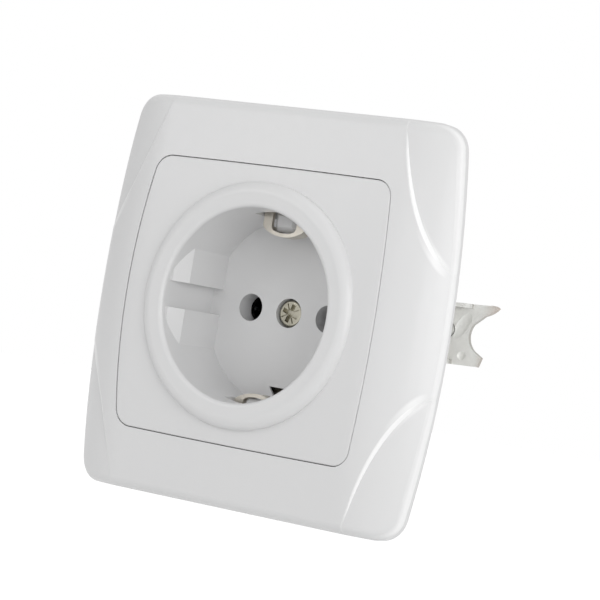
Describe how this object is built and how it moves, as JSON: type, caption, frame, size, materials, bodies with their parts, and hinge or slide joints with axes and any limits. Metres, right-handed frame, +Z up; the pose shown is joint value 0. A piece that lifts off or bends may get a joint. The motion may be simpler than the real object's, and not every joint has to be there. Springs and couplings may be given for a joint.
{
  "type": "flush wall socket",
  "caption": "Flush-mounted earthed wall socket with a crowned square decor frame, a round recessed cup and spreader claws behind.",
  "frame": {"origin": "on the cup's axis, in the plane of the wall, at the back face of the support strap", "axes": "+Z up, -Y out of the wall towards the room, +X right as seen from the room"},
  "size_m": [0.0842, 0.0449, 0.0822],
  "materials": {
    "white_frame": "satin gloss white",
    "white_cover": "satin gloss white",
    "nickel": "nickel plated",
    "zinc_steel": "zinc plated",
    "spring_steel": "bare spring steel",
    "glazed_ceramic": "white glaze",
    "brass": "bare brass"
  },
  "bodies": {
    "mechanism": {"decor_frame": "white_frame", "socket_cover": "white_cover", "cover_screw": "nickel", "earth_bow": "nickel", "support_strap": "zinc_steel", "ceramic_base": "glazed_ceramic", "contact_right": "brass", "contact_left": "brass", "terminal_screw_right": "zinc_steel", "terminal_screw_left": "zinc_steel", "clamp_plate_right": "zinc_steel", "clamp_plate_left": "zinc_steel", "earth_screw": "zinc_steel", "earth_saddle": "zinc_steel", "bow_rivet": "brass", "tulip_rings": "spring_steel", "strap_rivets": "brass"},
    "screw_right": {"claw_screw_right": "zinc_steel"},
    "screw_left": {"claw_screw_left": "zinc_steel"},
    "claw_right": {"claw_right": "zinc_steel"},
    "claw_left": {"claw_left": "zinc_steel"}
  },
  "joints": [
    {"name": "claw_right_swing", "type": "hinge", "parent": "mechanism", "child": "screw_right", "pos_m": [0.0247, -0.0005, 0.0022], "axis": [0, 0, -1], "range_deg": [-0.9, 8.6]},
    {"name": "claw_right_draw", "type": "slide", "parent": "screw_right", "child": "claw_right", "axis": [0, -1, 0], "range_m": [-0.001, 0.01]},
    {"name": "claw_left_swing", "type": "hinge", "parent": "mechanism", "child": "screw_left", "pos_m": [-0.0247, -0.0005, -0.0022], "axis": [0, 0, 1], "range_deg": [-0.9, 8.6]},
    {"name": "claw_left_draw", "type": "slide", "parent": "screw_left", "child": "claw_left", "axis": [0, -1, 0], "range_m": [-0.001, 0.01]}
  ],
  "couplings": [
    {"joint": "claw_right_swing", "follows": "claw_right_draw", "rad_per_m": 14.835},
    {"joint": "claw_left_swing", "follows": "claw_left_draw", "rad_per_m": 14.835}
  ]
}
